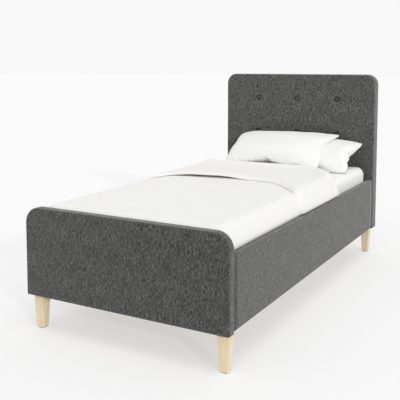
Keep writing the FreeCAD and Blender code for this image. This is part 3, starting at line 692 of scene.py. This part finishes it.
quilt = {
    "roll": 54 * mm, "drop": 131 * mm, "flapDrop": 109 * mm, "square": 5, "across": 104, "along": 196,
    "half": 6.2 * mm, "sideHalf": 3.3 * mm, "footHalf": 2.3 * mm, "clear": 0.5 * mm, "between": 1.0 * mm,
    "lift": 1.6 * mm, "nose": 50 * mm, "fullness": 12 * mm, "foldOver": 0.13, "foldFade": 0.11,
    "swell": 15 * mm, "swellFade": 58 * mm, "tuckFade": 9 * mm,
    # the turned-back hem: how thin it ends, how far it lies down, and where it stands off the quilt
    "thinHem": 0.14, "hemDown": 2.4 * mm, "stand": 12 * mm, "standAt": -0.16, "standHalf": 0.17,
    "standOver": 0.10, "standFade": 0.06,
    # the wall's share of the thickness, and what it loses where it hangs
    "wall": 0.92, "sideThin": 0.48, "footThin": 0.15,
    # unevenness: height, seed and size, and that of the flap alone
    "ripples": [(2.6 * mm, 5.5, 0.24), (1.3 * mm, 8.5, 0.095), (0.5 * mm, 12.5, 0.04)],
    "flapLoft": 0.8 * mm, "flapRipple": (1.4 * mm, 21.0, 0.19),
    # (place across, place along) of the fold and of the turned-back hem
    "fold": [(-0.60, 0.478), (-0.40, 0.500), (-0.27, 0.515), (0.013, 0.538), (0.194, 0.532),
             (0.300, 0.490), (0.360, 0.430), (0.449, 0.305), (0.50, 0.312), (0.60, 0.332)],
    "hem": [(-0.60, -0.235), (-0.47, -0.205), (-0.425, -0.150), (-0.365, -0.025), (-0.27, 0.000),
            (-0.176, 0.010), (-0.021, 0.045), (0.108, 0.052), (0.23, 0.034), (0.355, -0.098),
            (0.415, -0.168), (0.475, -0.235), (0.52, -0.232), (0.60, -0.212)],
    # each crease: start, end, half width and depth
    "creases": [((-0.33, 0.47), (0.02, 0.36), 20 * mm, 3.0 * mm),
                ((0.10, 0.43), (0.28, 0.30), 22 * mm, 2.6 * mm),
                ((-0.05, -0.80), (0.20, -0.93), 22 * mm, 2.6 * mm),
                ((0.02, -0.62), (0.34, -0.88), 30 * mm, 2.4 * mm),
                ((0.18, -0.30), (0.40, -0.52), 26 * mm, 2.2 * mm),
                ((-0.30, -0.40), (-0.10, -0.62), 30 * mm, 1.8 * mm)],
}


def straight(points, value):
    for (x0, y0), (x1, y1) in zip(points, points[1:]):
        if value <= x1 or x1 == points[-1][0]:
            share = min(1.0, max(0.0, (value - x0) / (x1 - x0)))
            return y0 + (y1 - y0) * share


def smoothed(points, value, reach=30 * mm):  # straight lines between the points, rounded where they meet
    return sum(straight(points, value + reach * i / 3) for i in range(-3, 4)) / 7


def creased(x, y):
    depth = 0.0
    for (x0, y0), (x1, y1), half, deep in quilt["creases"]:
        dx, dy = x1 - x0, y1 - y0
        length = math.hypot(dx, dy)
        go = ((x - x0) * dx + (y - y0) * dy) / length
        off = ((x - x0) * dy - (y - y0) * dx) / length + 0.012 * ripple(x, y, 2.2, 0.11)
        fade = ease(go, -0.04, 0.07) * ease(length - go, -0.04, 0.09)
        trough = math.exp(-(off / half) ** 2)
        ridge = 0.7 * math.exp(-((off - half * 1.6) / half) ** 2)
        otherRidge = 0.45 * math.exp(-((off + half * 1.7) / half) ** 2)
        depth += fade * deep * (trough - ridge - otherRidge)
    return depth


def layOver(x, y, lift, low, high):  # the place this far over the mattress's rounded top and sides
    r = quilt["roll"]
    inX = min(max(x, low.x + r), high.x - r)
    inY = min(max(y, low.y + r), high.y - r)
    overX, overY = x - inX, y - inY
    over = math.hypot(overX, overY)
    if not over:
        return Vector((x, y, high.z + lift))
    reach = (abs(overX) ** quilt["square"] + abs(overY) ** quilt["square"]) ** (1 / quilt["square"])
    turn = min(reach / r, math.pi / 2)
    down = max(0.0, reach - r * math.pi / 2)
    outward = Vector((overX / over, overY / over, 0))
    place = Vector((inX, inY, high.z - r)) + outward * ((r + lift) * math.sin(turn))
    place.z += (r + lift) * math.cos(turn) - down
    return place


def quiltCourse(gone, footEnd, fold, lowerLift, apart):
    # up the bed, round the fold and back: the place along it, its height and how far it's turned back
    beyondFold = gone - (fold - footEnd)
    if beyondFold < 0:
        return footEnd + gone, lowerLift, 0.0
    if beyondFold < quilt["nose"]:
        turn = math.pi * beyondFold / quilt["nose"]
        rise = 1 - math.cos(turn)
        return fold + apart / 2 * math.sin(turn), lowerLift + apart / 2 * rise, rise / 2
    return fold - (beyondFold - quilt["nose"]), lowerLift + apart, 1.0


def quiltHalf(side, foot):  # half the quilt's thickness, which is less where it hangs
    half = quilt["half"] + (quilt["sideHalf"] - quilt["half"]) * side
    return half + (quilt["footHalf"] - half) * foot


def quiltLoft(x, y, flap):
    height, seed, size = quilt["flapRipple"]
    loft = sum(tall * ripple(x, y, kind, wide) for tall, kind, wide in quilt["ripples"])
    return loft + flap * (quilt["flapLoft"] + height * ripple(x, y, seed, size))


def dressed(x, y, fold, hem, lift, flap, top, half, lowest):
    # the course's height with its loft, hem, creases and full fold, and how thin the quilt is there
    toHem = (y - hem) if flap == 1.0 else 1.0
    stand = quilt["stand"] * ease(quilt["standOver"] - toHem, 0.0, quilt["standFade"])
    stand *= math.exp(-((x - quilt["standAt"]) / quilt["standHalf"]) ** 4)
    loft = quiltLoft(x, y, flap) * (0.25 + 0.75 * top) + quilt["lift"] * top
    lift += loft * (0.5 + 0.5 * flap) + stand * flap * top
    if flap > 0.5 or y < hem - 10 * mm:
        seen = flap if y > hem else 1 - flap
        lift -= creased(x, y) * top * (0.5 + 0.5 * seen)
    thin = quilt["thinHem"] + (1 - quilt["thinHem"]) * ease(toHem, 2 * mm, 50 * mm)
    lift = max(lift, lowest) - (1 - thin) * (half * 0.86 + quilt["hemDown"])
    full = ease(quilt["foldOver"] - (fold - y), 0.0, quilt["foldFade"]) * (0.45 + 0.55 * flap)
    return lift + quilt["fullness"] * top * full, thin


def layQuilt(vert, low, high, railTop):  # puts a point of the flat grid in its place on the bed
    shoulder, footShoulder = high.x - quilt["roll"], low.y + quilt["roll"]
    footEnd = footShoulder - quilt["drop"]
    x = vert.co.x * 2 * (shoulder + quilt["drop"])
    beyond = max(0.0, abs(x) - shoulder)
    fold, hem = smoothed(quilt["fold"], x), smoothed(quilt["hem"], x, 18 * mm)
    gone = (vert.co.y + 0.5) * ((fold - footEnd) + (fold - hem) + quilt["nose"])
    side = ease(beyond, 0.0, quilt["roll"] * 1.5)
    foot = ease(footShoulder - (footEnd + gone), 0.0, quilt["roll"] * 1.2)
    half = quiltHalf(side, foot)
    lowerLift, apart = quilt["clear"] + half, 2 * half + quilt["between"]
    y, lift, flap = quiltCourse(gone, footEnd, fold, lowerLift, apart)
    if flap and beyond:
        flapSide = quilt["flapDrop"] / quilt["drop"]
        x = math.copysign(shoulder + beyond * (1 + (flapSide - 1) * flap), x)
    lowest = lowerLift + apart * flap * 0.9
    lift, thin = dressed(x, y, fold, hem, lift, flap, 1 - side, half, lowest)
    vert.co = layOver(x, y, lift, low, high)
    # the side swells out over the rail, then tucks in behind it
    swell = ease(vert.co.z, railTop, railTop + quilt["tuckFade"])
    swell *= ease(high.z - 10 * mm - vert.co.z, 0.0, quilt["swellFade"])
    vert.co.x += math.copysign(quilt["swell"] * swell * side, x)
    return thin


def makeDuvet():
    low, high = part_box("fitted_sheet")
    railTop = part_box("side_rail_cover_right")[1].z
    bm = bmesh.new()
    bmesh.ops.create_grid(bm, x_segments=quilt["across"], y_segments=quilt["along"], size=0.5)
    thin = [layQuilt(vert, low, high, railTop) for vert in bm.verts]
    bm.normal_update()
    shell = madePiece("duvet", bm, "white_cotton", "duvet", ["duvet"], finish="duvet_cotton")
    wall = shell.modifiers.new("loft", "SOLIDIFY")
    wall.thickness, wall.offset, wall.use_rim = 2 * quilt["half"] * quilt["wall"], 0.0, True
    group = shell.vertex_groups.new(name="loft")
    wall.vertex_group = group.name
    for vert in shell.data.vertices:
        side = ease(high.z - 10 * mm - vert.co.z, 0.0, 50 * mm)
        foot = ease(low.y + 20 * mm - vert.co.y, 0.0, 20 * mm)
        hanging = 1 - quilt["sideThin"] * side - quilt["footThin"] * foot * side
        group.add([vert.index], hanging * thin[vert.index], "REPLACE")
    return shell


duvet = makeDuvet()
print("duvet: laid")


# Pillows: stuffed by a cloth simulation, then laid down

pillow = {
    "width": 0.705, "depth": 0.475, "columns": 80, "rows": 54, "loft": 0.128, "flatLoft": 0.12,
    "rounding": 0.035, "waist": 0.004, "frontOut": 0.036, "backIn": -0.02, "uneven": 2 * mm,
    "frames": 24, "laid": 0.100, "short": 8 * mm, "pressed": 12 * mm, "clear": 0.6 * mm,
}
pillowCloth = {
    "quality": 6, "mass": 0.25, "tension_stiffness": 22, "compression_stiffness": 22,
    "shear_stiffness": 6, "bending_stiffness": 0.35, "use_pressure": True,
    "uniform_pressure_force": 4.2, "air_damping": 6,
}
# each pillow's line up from the mattress to the headboard, and how it's bent
asStuffed = dict.fromkeys(("archBack", "tilt", "droop", "sag", "drawnBack", "leftFront", "leftBack",
                           "rightBack"), 0.0)
lowerShape = {
    **asStuffed, "seed": 11, "line": [(0.572, 0.551), (0.62, 0.586), (0.74, 0.626), (0.908, 0.692)],
    "archBack": 18 * mm, "tilt": 5 * mm, "drawnBack": 62 * mm, "leftFront": 20 * mm,
}
upperShape = {
    **asStuffed, "seed": 23, "line": [(0.528, 0.573), (0.61, 0.642), (0.74, 0.690), (0.900, 0.722)],
    "archBack": -4 * mm, "tilt": 10 * mm, "droop": 8 * mm, "sag": 12 * mm, "leftFront": 64 * mm,
    "leftBack": 18 * mm, "rightBack": 20 * mm,
}


def pillowBlank(seed):  # two layers of cloth joined round their rim
    bm = bmesh.new()
    bmesh.ops.create_grid(bm, x_segments=pillow["columns"], y_segments=pillow["rows"], size=0.5)
    for vert in bm.verts:
        u, v = vert.co.x * 2, vert.co.y * 2
        rounded = 1 - pillow["rounding"] * (abs(u) * abs(v)) ** 7
        waist = 1 - pillow["waist"] * (1 - v * v) * abs(u) ** 6
        end = 1 + (pillow["frontOut"] if v < 0 else pillow["backIn"]) * (1 - u * u) * abs(v) ** 6
        vert.co.x = u * pillow["width"] / 2 * (rounded * waist)
        vert.co.y = v * pillow["depth"] / 2 * (rounded * end)
        bulge = max(0.0, (1 - u ** 4) * (1 - v ** 4)) ** 0.5
        uneven = pillow["uneven"] * ripple(vert.co.x, vert.co.y, seed, 0.05)
        vert.co.z = pillow["loft"] * pillow["flatLoft"] * bulge + uneven
    made = bmesh.ops.duplicate(bm, geom=bm.faces[:])["geom"]
    for vert in (g for g in made if isinstance(g, bmesh.types.BMVert)):
        vert.co.z = -vert.co.z
    bmesh.ops.reverse_faces(bm, faces=[g for g in made if isinstance(g, bmesh.types.BMFace)])
    for vert in bm.verts:
        if vert.is_boundary:
            vert.co.z = 0
    bmesh.ops.remove_doubles(bm, verts=bm.verts, dist=close)
    bmesh.ops.recalc_face_normals(bm, faces=bm.faces)
    return bm


def blowUp(shell):
    cloth = shell.modifiers.new("cloth", "CLOTH")
    for key, value in pillowCloth.items():
        setattr(cloth.settings, key, value)
    cloth.settings.effector_weights.gravity = 0
    cloth.collision_settings.use_collision = False
    cloth.point_cache.frame_start, cloth.point_cache.frame_end = 1, pillow["frames"]
    for frameNumber in range(1, pillow["frames"] + 1):
        scene.frame_set(frameNumber)


def stuffedPillow(seed):
    blank = pillowBlank(seed)
    mesh = bpy.data.meshes.new("stuffing")
    blank.to_mesh(mesh)
    blank.free()
    shell = bpy.data.objects.new("stuffing", mesh)
    scene.collection.objects.link(shell)
    blowUp(shell)
    full = shell.evaluated_get(bpy.context.evaluated_depsgraph_get())
    bm = bmesh.new()
    bm.from_mesh(full.to_mesh())
    full.to_mesh_clear()
    bpy.data.objects.remove(shell)
    scene.frame_set(1)
    return bm


def onLine(line, go):  # the place this far along a line, and how steep it is there
    for (y0, z0), (y1, z1) in zip(line, line[1:]):
        part = math.dist((y0, z0), (y1, z1))
        if go <= part or (y1, z1) == line[-1]:
            share = go / part
            return y0 + (y1 - y0) * share, z0 + (z1 - z0) * share, math.atan2(z1 - z0, y1 - y0)
        go -= part


def settled(bm, line, heightAt, wide, middle):
    # bent along its line, and pressed on what's below
    halfX, halfY, halfZ = (max(v.co[axis] for v in bm.verts) for axis in range(3))
    length = sum(math.dist(a, b) for a, b in zip(line, line[1:]))
    for vert in bm.verts:
        u, v, w = vert.co.x / halfX, vert.co.y / halfY, vert.co.z / halfZ
        y, z, lean = onLine(line, (v + 1) / 2 * length)
        thick = w * pillow["laid"] / 2
        vert.co = Vector((middle + u * wide / 2, y - thick * math.sin(lean), z + thick * math.cos(lean)))
    for _ in range(4):
        bmesh.ops.smooth_vert(bm, verts=bm.verts, factor=0.35, use_axis_x=False, use_axis_y=True,
                              use_axis_z=True)
    pressed = pillow["pressed"]
    for vert in bm.verts:
        under = heightAt(vert.co.x, vert.co.y)
        above = vert.co.z - under
        if above < pressed:  # softly at first, then flat
            vert.co.z = under + pillow["clear"] + pressed * math.exp((above - pressed) / pressed) * 0.35


def heightsOf(pieces, other):
    # how high the tops of the pieces are over each place, or the other height where they aren't there
    graph = bpy.context.evaluated_depsgraph_get()
    trees = [BVHTree.FromObject(piece, graph) for piece in pieces]

    def height(x, y):
        hits = [tree.ray_cast(Vector((x, y, 2.0)), Vector((0, 0, -1)))[0] for tree in trees]
        return max([other] + [hit.z for hit in hits if hit])
    return height


def pillowPiece(which, shape, heightAt):
    node = f"{which}_pillow"
    low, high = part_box(node)
    high.x -= pillow["short"]
    middle, wide = (low.x + high.x) / 2, high.x - low.x
    bm = stuffedPillow(shape["seed"])
    settled(bm, shape["line"], heightAt, wide, middle)
    for vert in bm.verts:
        u = (vert.co.x - middle) / (wide / 2)
        front = ease(high.y - vert.co.y, 0.0, high.y - low.y)
        back = 1 - front
        leftEnd, rightEnd = max(0.0, -u), max(0.0, u)
        vert.co.z += shape["archBack"] * back * (0.5 - u * u)
        vert.co.z += shape["tilt"] * back * u - shape["droop"] * front * ease(leftEnd, 0.1, 0.9)
        vert.co.z -= shape["sag"] * ease(rightEnd, 0.55, 1.0) * (1 - back ** 4)
        vert.co.x += shape["leftFront"] * front * leftEnd + shape["leftBack"] * back * leftEnd ** 2
        vert.co.x += shape["rightBack"] * back * rightEnd ** 2
        vert.co.y += shape["drawnBack"] * front * ease(-u, -0.62, 0.1)
    bmesh.ops.recalc_face_normals(bm, faces=bm.faces)
    piece = madePiece(f"{which}Pillow", bm, "white_cotton", node, [node], finish="pillow_cotton",
                      subdivide=1)
    return piece


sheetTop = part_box("fitted_sheet")[1].z + 0.4 * mm
lowerPillow = pillowPiece("lower", lowerShape, heightsOf([duvet], sheetTop))
pillowPiece("upper", upperShape, heightsOf([duvet, lowerPillow], sheetTop))
print("pillows: stuffed and laid")


# Screws

screw = {"head": 4.2 * mm, "rise": 2.4 * mm, "slot": 0.9 * mm, "slotDepth": 1.3 * mm, "arm": 0.6,
         "around": 20, "rings": 12, "seat": 0.2 * mm, "bracket": 3 * mm, "fromEnd": 44 * mm,
         "heights": (0.25, 0.75), "fromEdge": 5.5 * mm}


def screwHeads(name, spots):  # domed cross-slot heads, each spot a place and the way its head faces
    bm = bmesh.new()
    for spot, facing in spots:
        made = bmesh.ops.create_uvsphere(bm, u_segments=screw["around"], v_segments=screw["rings"],
                                         radius=screw["head"])
        verts = made["verts"]
        bmesh.ops.scale(bm, vec=(1, 1, screw["rise"] / screw["head"]), verts=verts)
        bmesh.ops.delete(bm, geom=[v for v in verts if v.co.z < -screw["seat"]], context="VERTS")
        verts = [v for v in verts if v.is_valid]
        for vert in verts:
            arm = min(abs(vert.co.x), abs(vert.co.y))
            if arm < screw["slot"] and math.hypot(vert.co.x, vert.co.y) < screw["head"] * screw["arm"]:
                vert.co.z -= screw["slotDepth"]
        turn = Vector((0, 0, 1)).rotation_difference(facing).to_matrix()
        bmesh.ops.rotate(bm, cent=(0, 0, 0), matrix=turn, verts=verts)
        bmesh.ops.translate(bm, vec=spot, verts=verts)
    madePiece(name, bm, "zinc_steel", "bed_frame")


def bracketScrews():
    low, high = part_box("corner_brackets")
    spots = []
    for side, wall in ((-1, low.x), (1, high.x)):
        for end, inward in ((low.y, 1), (high.y, -1)):
            for up in screw["heights"]:
                place = Vector((wall - side * screw["bracket"], end + inward * screw["fromEnd"],
                                low.z + (high.z - low.z) * up))
                spots.append((place, Vector((-side, 0, 0))))
    screwHeads("bracketScrews", spots)


def plateScrews():
    plates = [v.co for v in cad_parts["leg_plates"].data.vertices]
    spots = []
    for side in (-1, 1):
        for end in (-1, 1):
            plate = [p for p in plates if p.x * side > 0 and p.y * end > 0]
            base = min(p.z for p in plate)
            flat = [p for p in plate if p.z < base + 1 * mm]
            across, along = ((min(p[axis] for p in flat) + screw["fromEdge"],
                              max(p[axis] for p in flat) - screw["fromEdge"]) for axis in (0, 1))
            spots += [(Vector((x, y, base)), Vector((0, 0, -1))) for x in across for y in along]
    screwHeads("plateScrews", spots)


bracketScrews()
plateScrews()
print("screws: made")


# The construction that stays as it is gets its finishes

nodeFinishes = {
    "panel": "plywood", "stiles": "frame_timber", "top_rail": "frame_timber_cross",
    "cross_rails": "frame_timber_cross", "lining": "lining_cloth", "ledge": "frame_timber_long",
    "board": "frame_timber_long", "blocks": "frame_timber", "plates": "black_steel",
    "brackets": "black_steel", "studs": "zinc_steel", "bolts": "zinc_steel", "inserts": "zinc_steel",
    "glides": "black_plastic", "tapes": "tape", "slat_": "slat_pine", "foam": "foam",
}
for name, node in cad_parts.items():
    found = [finish for word, finish in nodeFinishes.items() if word in name]
    if found and not node.hide_render:
        if not node.material_slots:
            node.data.materials.append(None)
        for slot in node.material_slots:  # the first word that fits counts
            slot.material = finishes[found[0]]
print("construction: finished")


# Floor, background, lights and camera

keyRise, fillRise = math.radians(19.5), math.radians(77)
studio = {
    "floor": 0.42, "glow": 0.525, "bounce": 0.26, "floorSize": 60, "backdrop": 0.939, "ambient": 0.70,
    # each sun's strength, where it shines from and how wide it is in degrees
    "key": (0.28 * math.pi, (0.834 * math.cos(keyRise), -0.55 * math.cos(keyRise), math.sin(keyRise)), 4),
    "fill": (0.25 * math.pi, (math.cos(fillRise), -0.15, math.sin(fillRise)), 40),
}
view = {"lens": 61.26, "sensor": 36, "shift": -0.190, "place": (1.604, -3.185, 1.1675), "tilt": 85,
        "turn": 29.428, "far": 200}


def makeFloor():
    bm = bmesh.new()
    bmesh.ops.create_grid(bm, x_segments=1, y_segments=1, size=studio["floorSize"])
    mesh = bpy.data.meshes.new("floor")
    bm.to_mesh(mesh)
    bm.free()
    floor = bpy.data.objects.new("floor", mesh)
    scene.collection.objects.link(floor)
    paint = newPaint("floor")
    seen = paint.node("ShaderNodeLightPath", output="Is Camera Ray")
    glow = paint.mix(seen, grey(studio["bounce"]), grey(studio["glow"]))
    mesh.materials.append(paint.finish(grey(studio["floor"]), 0.9, Specular_IOR_Level=0.0,
                                       Emission_Color=glow, Emission_Strength=1.0))


def makeWorld():
    scene.world = bpy.data.worlds.new("studio")
    paint = Paint(scene.world)
    rays = [paint.node("ShaderNodeLightPath", output=kind) for kind in
            ("Is Camera Ray", "Is Glossy Ray", "Is Transmission Ray")]
    seen = rays[0].math("MAXIMUM", rays[1]).math("MAXIMUM", rays[2])
    level = seen * (studio["backdrop"] - studio["ambient"]) + studio["ambient"]
    white = paint.node("ShaderNodeCombineColor", inputs={0: level, 1: level, 2: level})
    back = paint.node("ShaderNodeBackground", inputs={"Color": white})
    paint.node("ShaderNodeOutputWorld", inputs={"Surface": back})


def addSun(name):
    data = bpy.data.lights.new(name, "SUN")
    data.energy, direction, spread = studio[name]
    data.angle = math.radians(spread)
    lamp = bpy.data.objects.new(name, data)
    lamp.rotation_euler = Vector(direction).to_track_quat("Z", "Y").to_euler()
    scene.collection.objects.link(lamp)


def addCamera():
    camera = bpy.data.objects.new("camera", bpy.data.cameras.new("camera"))
    camera.data.lens, camera.data.sensor_width = view["lens"], view["sensor"]
    camera.data.shift_y, camera.data.clip_end = view["shift"], view["far"]
    camera.location = view["place"]
    camera.rotation_euler = (math.radians(view["tilt"]), 0, math.radians(view["turn"]))
    scene.collection.objects.link(camera)
    scene.camera = camera


makeFloor()
makeWorld()
addSun("key")
addSun("fill")
addCamera()
scene.view_settings.view_transform = "Standard"
print("studio: lit")
